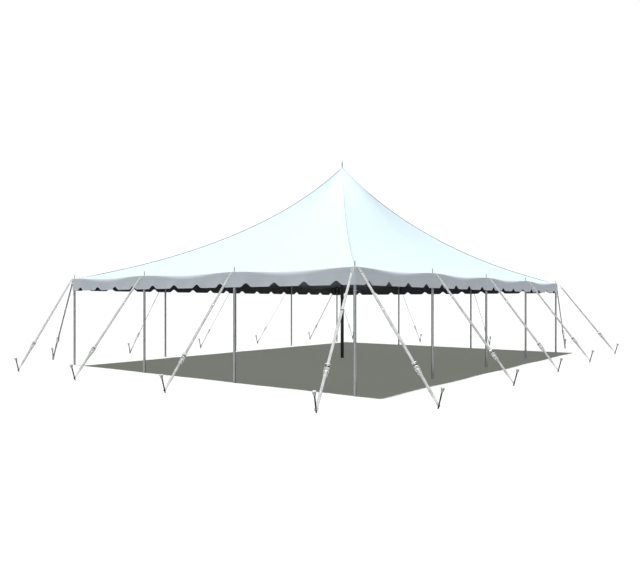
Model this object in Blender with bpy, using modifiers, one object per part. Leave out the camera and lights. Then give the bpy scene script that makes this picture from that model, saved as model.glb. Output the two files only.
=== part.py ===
"""A pole marquee tent of three bays by four, with one centre pole, at its real size in metres.

The origin is on the ground under the centre pole. The long side runs along X, and -Y is the front.
"""

import math

import bmesh
import bpy
from mathutils import Matrix, Vector

# Plan: side poles stand ten feet apart
BAY = 3.048
BAYS_LONG = 4
BAYS_SHORT = 3
HALF_X = BAYS_LONG * BAY / 2
HALF_Y = BAYS_SHORT * BAY / 2

# Roof: heights are those of the top of the fabric
EAVE_HEIGHT = 2.33
PEAK_HEIGHT = 5.80
SWOOP = 1.5
ROUND_PEAK = 6.8
ROUNDNESS_FADE = 4
EAVE_SAG = 0.04
SAG_FADE = 8
ROOF_THICKNESS = 0.005
HEM_IN = 0.06
HEM_OUT = 0.05
PEAK_PATCH = 0.0095
ROOF_RINGS = 9
RING_CROWDING = 1.35
HEM_PLATE = 0.09

# Valance: a scalloped skirt with notches between its tongues
VALANCE_DROP = 0.325
VALANCE_THICKNESS = 0.004
TONGUES_PER_BAY = 4
NOTCH_WIDTH = 0.31
NOTCH_HEIGHT = 0.082
NOTCH_POINTS = 6

# Poles
SIDE_POLE_RADIUS = 0.0285
SIDE_PIN_RADIUS = 0.0095
SIDE_PIN_ABOVE = 0.108
CENTRE_POLE_RADIUS = 0.05
CENTRE_PIN_RADIUS = 0.0175
CENTRE_PIN_ABOVE = 0.25
POLE_SIDES = 12

# Stakes lean away from the tent
STAKE_DISTANCE = 1.8
STAKE_RADIUS = 0.0127
STAKE_LEAN = math.radians(15)
STAKE_LENGTH = 0.36
CAP_HEIGHT = 0.075
CAP_BOTTOM_RADIUS = 0.021
CAP_TOP_RADIUS = 0.036
STAKE_SIDES = 8

# Guy straps of two-inch webbing, each with a ratchet
WEBBING_WIDTH = 0.05
WEBBING_THICKNESS = 0.004
TAB_IN = 0.03
TAB_OUT = 0.078
LOOP_HEIGHT = 0.05
LOOP_LENGTH = 0.045
LOOP_WALL = 0.004
RATCHET_SHARE = 0.765
RATCHET_LENGTH = 0.15
RATCHET_WIDTH = 0.072
RATCHET_DEPTH = 0.042
PLATE_THICKNESS = 0.004
SPOOL_RADIUS = 0.014
HANDLE_LENGTH = 0.12
HANDLE_THICKNESS = 0.012
HANDLE_STEP = 0.004

# Degrees that each corner guy turns beyond its own side, or back along that side where negative
CORNER_SPLAY = {
    "front_1": 9,
    "front_5": 12,
    "back_1": -12,
    "back_5": 12,
    "left_1": 15,
    "left_4": -15,
    "right_1": -6,
    "right_4": 12,
}

# Clearances
GAP = 0.0003
PIN_CLEARANCE = 0.0005
CUT_PAST = 0.05

for leftover in list(bpy.data.objects):
    bpy.data.objects.remove(leftover, do_unlink=True)

parts = bpy.data.collections.new("marquee_tent")
bpy.context.scene.collection.children.link(parts)
cutters = bpy.data.collections.new("cutters")
bpy.context.scene.collection.children.link(cutters)


def material(name, colour, roughness, metallic=0.0):
    made = bpy.data.materials.new(name)
    made.use_nodes = True
    shader = made.node_tree.nodes["Principled BSDF"]
    shader.inputs["Base Color"].default_value = (*colour, 1.0)
    shader.inputs["Roughness"].default_value = roughness
    shader.inputs["Metallic"].default_value = metallic
    return made


white_vinyl = material("white_vinyl", (0.88, 0.93, 0.94), 0.45)
grey_aluminium = material("grey_aluminium", (0.42, 0.43, 0.44), 0.4, 1.0)
dark_steel_tube = material("dark_steel_tube", (0.03, 0.03, 0.035), 0.45)
white_webbing = material("white_webbing", (0.78, 0.78, 0.76), 0.8)
dark_steel_rod = material("dark_steel_rod", (0.06, 0.06, 0.065), 0.55, 1.0)


def add_object(name, data, finish, collection=parts):
    made = bpy.data.objects.new(name, data)
    collection.objects.link(made)
    if finish is not None and not data.materials:
        data.materials.append(finish)
    return made


def mesh_from(name, shape):
    """Turns a bmesh into mesh data and frees it."""
    data = bpy.data.meshes.new(name)
    shape.normal_update()
    shape.to_mesh(data)
    shape.free()
    return data


def hide_as_cutter(thing):
    thing.hide_render = True
    thing.display_type = "WIRE"


# Roof: a swooped sheet of four panels, round in plan at the peak and square at the eave


def rise_left(out):
    """Share of the rise from eave to peak that is left at share out of the way to the eave."""
    return (math.exp(-SWOOP * out) - math.exp(-SWOOP)) / (1 - math.exp(-SWOOP))


def roof_height(out):
    return EAVE_HEIGHT + (PEAK_HEIGHT - EAVE_HEIGHT) * rise_left(out)


def eave_sag(along):
    """How far the hem hangs below the pole tops at a distance along its bay."""
    hanging = min(max((along - HEM_PLATE) / (BAY - 2 * HEM_PLATE), 0), 1)
    return EAVE_SAG * math.sin(math.pi * hanging) ** 2


def bay_steps():
    """Distances along a bay at which the hem has a point. It lies flat round each pole."""
    return (0, HEM_PLATE, BAY / 4, BAY / 2, BAY * 3 / 4, BAY - HEM_PLATE)


def side_line(start, end, outset):
    """Points beside the pole line of one side, corner to corner, with their places in a bay."""
    heading = (end - start).normalized()
    outward = Vector((heading.y, -heading.x))
    found = []
    for bay in range(round((end - start).length / BAY)):
        for along in bay_steps():
            found.append((start + heading * (bay * BAY + along) + outward * outset, along))
    found.append((end + (outward + heading) * outset, 0))
    found[0] = (start + (outward - heading) * outset, 0)
    return found


def roof_ring(start, end, out):
    """One panel's line of points at share out of the way from the peak to the hem."""
    line = []
    roundness = (1 - out) ** ROUNDNESS_FADE
    for edge, along in side_line(start, end, -HEM_IN):
        reach = edge.length * (1 - roundness) + ROUND_PEAK * roundness
        place = edge.normalized() * reach * out
        height = roof_height(out) - eave_sag(along) * out**SAG_FADE
        line.append(Vector((place.x, place.y, height)))
    return line


def peak_line(start, end, radius, height):
    directions = [edge.normalized() for edge, _ in side_line(start, end, -HEM_IN)]
    return [Vector((d.x * radius, d.y * radius, height)) for d in directions]


def hem_line(start, end):
    return [
        Vector((edge.x, edge.y, EAVE_HEIGHT - eave_sag(along)))
        for edge, along in side_line(start, end, HEM_OUT)
    ]


def panel_shape(lines):
    """A closed panel whose top has the lines, which run from the innermost to the outermost."""
    shape = bmesh.new()
    thickness = Vector((0, 0, ROOF_THICKNESS))
    rows = [[shape.verts.new(point - thickness) for point in line] for line in lines]
    for inner, outer in zip(rows, rows[1:]):
        for i in range(len(inner) - 1):
            shape.faces.new((inner[i], outer[i], outer[i + 1], inner[i + 1]))
    top = bmesh.ops.extrude_face_region(shape, geom=shape.faces[:])["geom"]
    top_points = [piece for piece in top if isinstance(piece, bmesh.types.BMVert)]
    bmesh.ops.translate(shape, verts=top_points, vec=thickness)
    return shape


def pole_places():
    """Name and place of every side pole."""
    found = [
        ("corner_pole_front_left", Vector((-HALF_X, -HALF_Y))),
        ("corner_pole_front_right", Vector((HALF_X, -HALF_Y))),
        ("corner_pole_back_right", Vector((HALF_X, HALF_Y))),
        ("corner_pole_back_left", Vector((-HALF_X, HALF_Y))),
    ]
    for side, sign in (("front", -1), ("back", 1)):
        for i in range(1, BAYS_LONG):
            found.append((f"{side}_pole_{i}", Vector((i * BAY - HALF_X, sign * HALF_Y))))
    for side, sign in (("left", -1), ("right", 1)):
        for i in range(1, BAYS_SHORT):
            found.append((f"{side}_pole_{i}", Vector((sign * HALF_X, i * BAY - HALF_Y))))
    return found


def grommet_punch():
    """Cutters for the pin holes of all the side poles, as one object."""
    punch = bmesh.new()
    for _, place in pole_places():
        bmesh.ops.create_cone(
            punch,
            cap_ends=True,
            segments=POLE_SIDES,
            radius1=SIDE_PIN_RADIUS + PIN_CLEARANCE,
            radius2=SIDE_PIN_RADIUS + PIN_CLEARANCE,
            depth=2 * CUT_PAST,
            matrix=Matrix.Translation((place.x, place.y, EAVE_HEIGHT)),
        )
    grommets = add_object("grommet_punch", mesh_from("grommet_punch", punch), None, cutters)
    hide_as_cutter(grommets)
    return grommets


def add_roof():
    """Four panels that meet along the hips, with a small gap there."""
    grommets = grommet_punch()
    corners = {(x, y): Vector((x * HALF_X, y * HALF_Y)) for x in (-1, 1) for y in (-1, 1)}
    sides = {
        "roof_front": (corners[-1, -1], corners[1, -1]),
        "roof_right": (corners[1, -1], corners[1, 1]),
        "roof_back": (corners[1, 1], corners[-1, 1]),
        "roof_left": (corners[-1, 1], corners[-1, -1]),
    }
    shares = [
        PEAK_PATCH + (1 - PEAK_PATCH) * (i / ROOF_RINGS) ** RING_CROWDING
        for i in range(ROOF_RINGS + 1)
    ]
    for name, (start, end) in sides.items():
        lines = [peak_line(start, end, CENTRE_PIN_RADIUS + PIN_CLEARANCE, PATCH_HEIGHT)]
        lines += [roof_ring(start, end, share) for share in shares]
        lines.append(hem_line(start, end))
        seam_gap = (end - start).normalized().to_3d() * GAP
        for line in lines:
            line[0] += seam_gap
            line[-1] -= seam_gap
        panel = add_object(name, mesh_from(name, panel_shape(lines)), white_vinyl)
        # The exact solver fails where a hip's edge runs through the middle of a corner hole.
        holes = panel.modifiers.new("pin_holes", "BOOLEAN")
        holes.operation = "DIFFERENCE"
        holes.solver = "MANIFOLD"
        holes.object = grommets


# Valance: one scalloped skirt under each side's hem


def tongue_edge(bays, half_length):
    """Points along the lower edge, from one end of a side to the other, as (along, height)."""
    pitch = BAY / TONGUES_PER_BAY
    bottom = EAVE_HEIGHT - VALANCE_DROP
    points = [(-half_length, bottom)]
    for notch in range(bays * TONGUES_PER_BAY):
        middle = -bays * BAY / 2 + (notch + 0.5) * pitch
        for i in range(NOTCH_POINTS + 1):
            share = i / NOTCH_POINTS - 0.5
            lift = NOTCH_HEIGHT * math.cos(math.pi * share) ** 2
            points.append((middle + share * NOTCH_WIDTH, bottom + lift))
    points.append((half_length, bottom))
    return points


def hem_edge(bays, half_length):
    """Points under the hem, from the far end of a side back to its start, as (along, height)."""
    top = EAVE_HEIGHT - ROOF_THICKNESS - GAP
    points = [(half_length, top)]
    for bay in reversed(range(bays)):
        for along in reversed(bay_steps()[1:]):
            points.append(((bay - bays / 2) * BAY + along, top - eave_sag(along)))
    points.append((-half_length, top))
    return points


def add_valance(name, bays, half_length, middle, turn):
    """A skirt standing on edge, with its middle at a place in plan and turned about Z."""
    curve = bpy.data.curves.new(name, "CURVE")
    curve.dimensions = "2D"
    curve.fill_mode = "BOTH"
    curve.extrude = VALANCE_THICKNESS / 2
    outline = tongue_edge(bays, half_length) + hem_edge(bays, half_length)
    spline = curve.splines.new("POLY")
    spline.points.add(len(outline) - 1)
    for point, (along, height) in zip(spline.points, outline):
        point.co = (along, height, 0, 1)
    spline.use_cyclic_u = True
    skirt = add_object(name, curve, white_vinyl)
    skirt.location = (middle.x, middle.y, 0)
    skirt.rotation_euler = (math.pi / 2, 0, turn)


def add_valances():
    """The long skirts reach past the corners, and the short ones stop against them."""
    long_half = HALF_X + HEM_OUT
    short_half = HALF_Y + HEM_OUT - VALANCE_THICKNESS - GAP
    skirt_x = HALF_X + HEM_OUT - VALANCE_THICKNESS / 2
    skirt_y = HALF_Y + HEM_OUT - VALANCE_THICKNESS / 2
    front = Vector((0, -skirt_y))
    left = Vector((-skirt_x, 0))
    add_valance("valance_front", BAYS_LONG, long_half, front, 0)
    add_valance("valance_back", BAYS_LONG, long_half, -front, math.pi)
    add_valance("valance_left", BAYS_SHORT, short_half, left, -math.pi / 2)
    add_valance("valance_right", BAYS_SHORT, short_half, -left, math.pi / 2)


# Poles: turned profiles with a pin on top


def turned(name, profile, sides):
    """A solid of revolution from a profile that runs down its outer side."""
    data = bpy.data.meshes.new(name)
    data.from_pydata(
        [(radius, 0, height) for radius, height in profile],
        [(i, i + 1) for i in range(len(profile) - 1)],
        [],
    )
    holder = bpy.data.objects.new(name, data)
    cutters.objects.link(holder)
    screw = holder.modifiers.new("turn", "SCREW")
    screw.steps = sides
    screw.render_steps = sides
    screw.use_merge_vertices = True
    screw.merge_threshold = 0.0001
    made = as_mesh(holder)
    made.name = name
    return made


def as_mesh(holder):
    """The evaluated mesh of a helper object, which is then removed."""
    bpy.context.view_layer.update()
    graph = bpy.context.evaluated_depsgraph_get()
    made = bpy.data.meshes.new_from_object(holder.evaluated_get(graph))
    made.transform(holder.matrix_world)
    bpy.data.objects.remove(holder, do_unlink=True)
    return made


def pole_mesh(name, radius, shoulder, pin_radius, pin_top):
    profile = [
        (0, pin_top),
        (pin_radius, pin_top),
        (pin_radius, shoulder),
        (radius, shoulder),
        (radius, 0),
        (0, 0),
    ]
    made = turned(name, profile, POLE_SIDES)
    made.shade_smooth()
    made.set_sharp_from_angle(angle=math.radians(35))
    return made


def add_poles():
    centre = pole_mesh(
        "centre_pole",
        CENTRE_POLE_RADIUS,
        PATCH_HEIGHT - ROOF_THICKNESS - GAP,
        CENTRE_PIN_RADIUS,
        PATCH_HEIGHT + CENTRE_PIN_ABOVE,
    )
    add_object("centre_pole", centre, dark_steel_tube)
    side = pole_mesh(
        "side_pole",
        SIDE_POLE_RADIUS,
        EAVE_HEIGHT - ROOF_THICKNESS - GAP,
        SIDE_PIN_RADIUS,
        EAVE_HEIGHT + SIDE_PIN_ABOVE,
    )
    for name, place in pole_places():
        pole = add_object(name, side, grey_aluminium)
        pole.location = (place.x, place.y, 0)


# Stakes and guy straps are drawn with +X outward from a pole that stands on the origin


def stake_frame():
    """Puts a stake drawn along +Z on its foot, leaning outward."""
    lean = Matrix.Rotation(STAKE_LEAN, 4, "Y")
    return Matrix.Translation((STAKE_DISTANCE, 0, 0)) @ lean


def stake_mesh():
    cap_foot = STAKE_LENGTH - CAP_HEIGHT
    profile = [
        (0, STAKE_LENGTH),
        (CAP_TOP_RADIUS, STAKE_LENGTH),
        (CAP_BOTTOM_RADIUS, cap_foot),
        (STAKE_RADIUS, cap_foot),
        (STAKE_RADIUS, -CUT_PAST),
        (0, -CUT_PAST),
    ]
    made = turned("stake", profile, STAKE_SIDES)
    made.transform(stake_frame())
    shape = bmesh.new()
    shape.from_mesh(made)
    everything = shape.verts[:] + shape.edges[:] + shape.faces[:]
    bmesh.ops.bisect_plane(
        shape, geom=everything, plane_co=(0, 0, 0), plane_no=(0, 0, 1), clear_inner=True
    )
    bmesh.ops.holes_fill(shape, edges=shape.edges[:])
    shape.to_mesh(made)
    shape.free()
    return made


def box(name, size, frame):
    shape = bmesh.new()
    bmesh.ops.create_cube(shape, size=1, matrix=frame @ Matrix.Diagonal((*size, 1)))
    made = bpy.data.objects.new(name, mesh_from(name, shape))
    cutters.objects.link(made)
    return made


def rod(name, radius, length, frame, sides=STAKE_SIDES):
    """A cylinder along the frame's Z, centred on it."""
    shape = bmesh.new()
    bmesh.ops.create_cone(
        shape,
        cap_ends=True,
        segments=sides,
        radius1=radius,
        radius2=radius,
        depth=length,
        matrix=frame,
    )
    made = bpy.data.objects.new(name, mesh_from(name, shape))
    cutters.objects.link(made)
    return made


def fused(base, joined, cut):
    """One mesh from a base with others joined to it and cut from it, whose helpers are removed."""
    for operation, others in (("UNION", joined), ("DIFFERENCE", cut)):
        for other in others:
            step = base.modifiers.new(other.name, "BOOLEAN")
            step.operation = operation
            step.object = other
    made = as_mesh(base)
    for other in joined + cut:
        bpy.data.objects.remove(other, do_unlink=True)
    return made


def guy_mesh(level):
    """Webbing from the eave pin to the stake's foot, with its ratchet. Level 1 lies on level 0."""
    tab_height = EAVE_HEIGHT + GAP + WEBBING_THICKNESS / 2
    tab_height += level * (WEBBING_THICKNESS + GAP)
    top = Vector((TAB_OUT, 0, tab_height))
    loop_middle = stake_frame() @ Vector((0, 0, LOOP_HEIGHT))
    run = loop_middle - top
    length = run.length
    # This frame's X runs down the strap and its Z stands off it, up and outward.
    along = run.normalized()
    across = Vector((0, 1, 0))
    face = along.cross(across)
    turn = Matrix((along, across, face)).transposed().to_4x4()

    def on_strap(distance, stand_off=0.0, aside=0.0):
        place = top + along * distance + face * stand_off + across * aside
        return Matrix.Translation(place) @ turn

    webbing = box(
        "webbing", (length, WEBBING_WIDTH, WEBBING_THICKNESS), on_strap(length / 2)
    )
    tab = box(
        "tab",
        (TAB_IN + TAB_OUT, WEBBING_WIDTH, WEBBING_THICKNESS),
        Matrix.Translation(((TAB_OUT - TAB_IN) / 2, 0, tab_height)),
    )
    lean = stake_frame()
    loop = rod(
        "loop",
        STAKE_RADIUS + GAP + LOOP_WALL,
        LOOP_LENGTH,
        lean @ Matrix.Translation((0, 0, LOOP_HEIGHT)),
    )
    ratchet = length * RATCHET_SHARE
    plate_size = (RATCHET_LENGTH, PLATE_THICKNESS, RATCHET_DEPTH)
    plate_aside = (RATCHET_WIDTH - PLATE_THICKNESS) / 2
    plates = [
        box(f"plate_{side}", plate_size, on_strap(ratchet, 0, side * plate_aside))
        for side in (-1, 1)
    ]
    sideways = Matrix.Rotation(math.pi / 2, 4, "X")
    spool = rod(
        "spool", SPOOL_RADIUS, RATCHET_WIDTH - PLATE_THICKNESS, on_strap(ratchet) @ sideways
    )
    handle_stand_off = (RATCHET_DEPTH + HANDLE_THICKNESS) / 2 - HANDLE_STEP
    handle = box(
        "handle",
        (HANDLE_LENGTH, RATCHET_WIDTH, HANDLE_THICKNESS),
        on_strap(ratchet - HANDLE_LENGTH / 4, handle_stand_off),
    )
    pin_hole = rod(
        "pin_hole",
        SIDE_PIN_RADIUS + PIN_CLEARANCE,
        2 * CUT_PAST,
        Matrix.Translation((0, 0, tab_height)),
        POLE_SIDES,
    )
    stake_hole = rod(
        "stake_hole",
        STAKE_RADIUS + GAP,
        4 * LOOP_LENGTH,
        lean @ Matrix.Translation((0, 0, LOOP_HEIGHT)),
    )
    return fused(webbing, [tab, loop, *plates, spool, handle], [pin_hole, stake_hole])


def guy_places():
    """Name end, pole place, heading and tab level of every guy, two at each corner."""
    found = []
    for side, sign in (("front", -1), ("back", 1)):
        for i in range(BAYS_LONG + 1):
            name = f"{side}_{i + 1}"
            outward = -1 if i == 0 else 1
            splay = math.radians(CORNER_SPLAY.get(name, 0))
            place = Vector((i * BAY - HALF_X, sign * HALF_Y))
            found.append((name, place, sign * (math.pi / 2 - outward * splay), 0))
    for side, sign in (("left", -1), ("right", 1)):
        for i in range(BAYS_SHORT + 1):
            name = f"{side}_{i + 1}"
            outward = -1 if i == 0 else 1
            splay = math.radians(CORNER_SPLAY.get(name, 0))
            square = 0 if sign > 0 else math.pi
            place = Vector((sign * HALF_X, i * BAY - HALF_Y))
            level = 1 if name in CORNER_SPLAY else 0
            found.append((name, place, square + sign * outward * splay, level))
    return found


def add_guys():
    straps = [guy_mesh(0), guy_mesh(1)]
    stake = stake_mesh()
    for name, place, heading, level in guy_places():
        strap = add_object(f"guy_strap_{name}", straps[level], white_webbing)
        peg = add_object(f"stake_{name}", stake, dark_steel_rod)
        for thing in (strap, peg):
            thing.location = (place.x, place.y, 0)
            thing.rotation_euler = (0, 0, heading)


PATCH_HEIGHT = roof_height(PEAK_PATCH)
add_roof()
add_valances()
add_poles()
add_guys()
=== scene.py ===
import math
from collections import namedtuple
from contextlib import contextmanager

import bmesh
import bpy
import numpy as np
from mathutils import Matrix, Vector


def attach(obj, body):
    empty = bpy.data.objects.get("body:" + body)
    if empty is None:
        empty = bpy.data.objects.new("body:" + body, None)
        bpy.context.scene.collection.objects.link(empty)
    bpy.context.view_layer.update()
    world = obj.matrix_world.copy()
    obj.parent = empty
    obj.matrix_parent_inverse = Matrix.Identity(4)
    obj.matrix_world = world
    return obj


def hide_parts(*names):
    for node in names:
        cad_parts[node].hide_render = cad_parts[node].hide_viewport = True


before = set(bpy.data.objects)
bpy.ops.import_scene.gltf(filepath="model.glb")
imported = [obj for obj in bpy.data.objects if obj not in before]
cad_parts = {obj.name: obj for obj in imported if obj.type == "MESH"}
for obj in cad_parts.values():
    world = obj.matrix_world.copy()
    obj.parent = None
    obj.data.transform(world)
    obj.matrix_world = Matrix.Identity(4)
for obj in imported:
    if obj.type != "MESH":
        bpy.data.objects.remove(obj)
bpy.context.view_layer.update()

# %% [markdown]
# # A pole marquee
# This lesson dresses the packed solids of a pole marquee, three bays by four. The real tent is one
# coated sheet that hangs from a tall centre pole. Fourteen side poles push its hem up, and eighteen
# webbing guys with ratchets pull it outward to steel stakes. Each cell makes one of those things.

scene = bpy.context.scene

# %% [markdown]
# ## Sizes
# The solids fix every main size, so they are only repeated here. The roof's height follows a swoop:
# a falling exponential from the peak to the eave, as a sheet takes when it is pulled from one point.

# %% Sizes in metres
BAY = 3.048
HALF_X, HALF_Y = 2 * BAY, 1.5 * BAY
EAVE, PEAK, SWOOP = 2.33, 5.80, 1.5
# The slope ends inside the line of the poles, and the skirt hangs outside it
HEM_IN, HEM_OUT = 0.06, 0.05
# Share of the slope where the peak's patch ends, and how wide the roof's rings are round the peak
PEAK_PATCH, ROUND_PEAK = 0.0095, 6.8
PITCH, NOTCH, NOTCH_RISE = BAY / 4, 0.31, 0.082
TONGUE_FOOT = EAVE - 0.325
CORNERS = ((-1, -1), (1, -1), (1, 1), (-1, 1))
CORNER_NAMES = ("front_left", "front_right", "back_right", "back_left")
# On which end of its axis each side lies, and how many poles it has
SIDES = {"front": (-1, 5), "back": (1, 5), "left": (-1, 4), "right": (1, 4)}
UP, SIDEWAYS = Vector((0, 0, 1)), Vector((0, 1, 0))


def roof_height(out):
    """Height of the sheet at a share of the way from the peak to the hem."""
    left = (math.exp(-SWOOP * out) - math.exp(-SWOOP)) / (1 - math.exp(-SWOOP))
    return EAVE + (PEAK - EAVE) * left


def pole_spot(side, i):
    """Place of a side pole, by its number from the left or from the front."""
    sign, count = SIDES[side]
    return (i * BAY - HALF_X, sign * HALF_Y) if count == 5 else (sign * HALF_X, i * BAY - HALF_Y)


PATCH_HEIGHT = roof_height(PEAK_PATCH)
print("the pole's top patch is at", round(PATCH_HEIGHT, 4))

# %% [markdown]
# ## Camera
# The camera stood off the near corner at eye height, with a level lens. The place, the heading
# and the lens come from fitting the feet and tops of the poles. The small shift keeps uprights upright.

# %% Camera
PHOTO_WIDTH, MIDDLE_ROW, HORIZON_ROW, FOCAL_PIXELS = 640, 287, 302.76, 607.5
SENSOR = 36
eye = bpy.data.objects.new("eye", bpy.data.cameras.new("eye"))
scene.collection.objects.link(eye)
eye.location = (-15.1723, -10.6871, 1.6803)
eye.rotation_euler = (math.pi / 2, 0, -0.9206)
eye.data.lens = FOCAL_PIXELS / PHOTO_WIDTH * SENSOR
eye.data.shift_y = (HORIZON_ROW - MIDDLE_ROW) / PHOTO_WIDTH
eye.data.clip_end = 300
scene.camera = eye
scene.view_settings.view_transform = "Standard"
print("lens", round(eye.data.lens, 2), "mm")

# %% [markdown]
# ## Small helpers for finishes
# Colours are picked as sRGB hex values, and Blender wants linear ones. One function adds a node with
# its settings and links, for shading and for geometry alike, and gives back the output that is in use.


# %% Colour and node helpers
def paint(code):
    """An sRGB hex colour as a linear one."""
    parts = [int(code[i : i + 2], 16) / 255 for i in (1, 3, 5)]
    return (*[p / 12.92 if p <= 0.04045 else ((p + 0.055) / 1.055) ** 2.4 for p in parts], 1.0)


def add(tree, kind, wires=None, out=None, **settings):
    """Adds a node and gives back its first output in use, or the one that out names.

    Wires holds a value, or the socket that feeds it, for each input. Shader nodes go by their short kind.
    """
    made = tree.nodes.new(kind if "Node" in kind else "ShaderNode" + kind)
    for name, value in settings.items():
        setattr(made, name, value)
    for key, value in (wires or {}).items():
        if isinstance(value, bpy.types.NodeSocket):
            tree.links.new(value, made.inputs[key])
        else:
            made.inputs[key].default_value = value
    return made.outputs[out] if out else next((socket for socket in made.outputs if socket.enabled), None)


def finish(name, **gloss):
    """A new material, its tree, and its shader, whose even values are set on the sockets."""
    made = bpy.data.materials.new(name)
    made.use_nodes = True
    shader = made.node_tree.nodes["Principled BSDF"]
    for key, value in gloss.items():
        shader.inputs[key.replace("_", " ")].default_value = value
    return made, made.node_tree, shader


def feed(shader, colour, rough=None, relief=None):
    """Links what varies over a surface to its shader."""
    for key, socket in (("Base Color", colour), ("Roughness", rough), ("Normal", relief)):
        if socket:
            shader.id_data.links.new(socket, shader.inputs[key])


print("middle grey is", round(paint("#808080")[0], 3), "in linear light")

# %% [markdown]
# ## Coated vinyl
# The sheet is polyester scrim calendered between two layers of soft PVC. Outside it is a cool satin white,
# and the skirt, which hangs in shade, is painted a touch less blue than the roof. The inside is painted
# charcoal, as painted shade for the deep shade under the roof, so the underside is nearly black.
# Strips 1.5 m wide are welded with an overlap of about 40 mm, which shows as a faint raised band. The
# scrim's threads are 1.4 mm apart, too fine to show, so they are drawn 9 mm apart and very shallow.

# %% Vinyl, outside and inside
STRIP, HALF_LAP, SKIRT_WELD = BAY / 2, 0.0195, 0.09
# A spot on the map of the sheet that no weld crosses, in metres along a side
NO_WELD = 0.3


def vinyl(name, colour, tired, weld, roughness, shaded_skirt_colour):
    made, tree, shader = finish(name, Specular_IOR_Level=0.4)
    panel = add(tree, "UVMap", uv_map="panel")
    place = add(tree, "TexCoord", out="Object")
    across, up, _ = add(tree, "SeparateXYZ", {0: panel}).node.outputs
    # Distance to the nearest weld, and whether this is roof or skirt
    beside = add(tree, "Math", {0: across, 1: STRIP / 2}, operation="PINGPONG")
    lap = add(tree, "MapRange", {0: beside, 1: 0.021, 2: 0.018}, interpolation_type="SMOOTHSTEP")
    roof = add(tree, "MapRange", {0: up, 1: 0.0, 2: 0.06})
    band = add(tree, "Math", {0: lap, 1: roof}, operation="MULTIPLY")
    # Fine lines at the edge of each lap, and where the skirt is welded on below the fold
    lines = []
    for distance, at in ((beside, HALF_LAP), (up, -SKIRT_WELD)):
        off = add(tree, "Math", {0: distance, 1: at}, operation="SUBTRACT")
        off = add(tree, "Math", {0: off}, operation="ABSOLUTE")
        lines.append(add(tree, "MapRange", {0: off, 1: 0.004, 2: 0.0}))
    line = add(tree, "Math", {0: lines[0], 1: roof}, operation="MULTIPLY")
    marks = add(tree, "Math", {0: line, 1: lines[1]}, operation="MAXIMUM")
    faint = add(tree, "Math", {0: marks, 1: 0.5}, operation="MULTIPLY")
    # Broad soft tone, where dust and rain have dulled the coat a little
    cloud = add(tree, "TexNoise", {"Vector": place, "Scale": 0.7, "Detail": 4.0})
    dull = add(tree, "MapRange", {0: cloud, 1: 0.42, 2: 0.68, 4: 0.6})
    tone = add(tree, "Mix", {0: dull, 6: paint(colour), 7: paint(tired)}, data_type="RGBA")
    # The skirt is painted a touch less blue than the roof, as painted shade for the shade it hangs in
    tone = add(tree, "Mix", {0: roof, 6: paint(shaded_skirt_colour), 7: tone}, data_type="RGBA")
    tone = add(tree, "Mix", {0: faint, 6: tone, 7: paint(weld)}, data_type="RGBA")
    rough = add(tree, "MapRange", {0: cloud, 3: roughness - 0.06, 4: roughness + 0.08})
    # Scrim, weld and slight puckers as relief
    warp, weft = (
        add(tree, "TexWave", {"Vector": panel, "Scale": 35.0}, "Fac", bands_direction=axis)
        for axis in ("X", "Y")
    )
    scrim = add(tree, "Math", {0: warp, 1: weft}, operation="ADD")
    crinkle = add(tree, "TexNoise", {"Vector": place, "Scale": 2.2, "Detail": 3.0})
    relief = None
    for strength, depth, height in ((0.12, 0.0006, scrim), (0.5, 0.004, band), (0.35, 0.03, crinkle)):
        below = {"Normal": relief} if relief else {}
        relief = add(tree, "Bump", {"Strength": strength, "Distance": depth, "Height": height, **below})
    feed(shader, tone, rough, relief)
    return made


white_vinyl = vinyl("pvc_coated_scrim_white", "#d9ebf3", "#d5e7ef", "#b3bfc7", 0.42, "#dce4ea")
# Painted shade: the seam's grey draws the dark line along the tent's outline
outline_shade_seam = vinyl("pvc_seam_grey_painted_outline", "#9ca3a7", "#959b9f", "#8b9195", 0.5, "#9ca3a7")
# Painted shade: the inner face is painted charcoal for the deep shade under the roof
inner_shade_vinyl = vinyl("pvc_inner_face_charcoal_painted_shade", "#393c3f", "#333639", "#282b2e", 0.6, "#393c3f")
print("vinyl:", [m.name for m in (white_vinyl, inner_shade_vinyl, outline_shade_seam)])

# %% [markdown]
# ## Webbing
# Guys are two-inch polyester webbing, woven in a herringbone whose ribs are 2 mm apart. They are drawn 4 mm
# apart, so that they show from near by. Polyester is matt with a soft sheen. It greys a little in random
# patches of dirt. Its woven edges are drawn darker still, as painted shade: the dark rim along each strap.

# %% Webbing
RIB, STRIPE = 0.004, 0.0125


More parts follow.
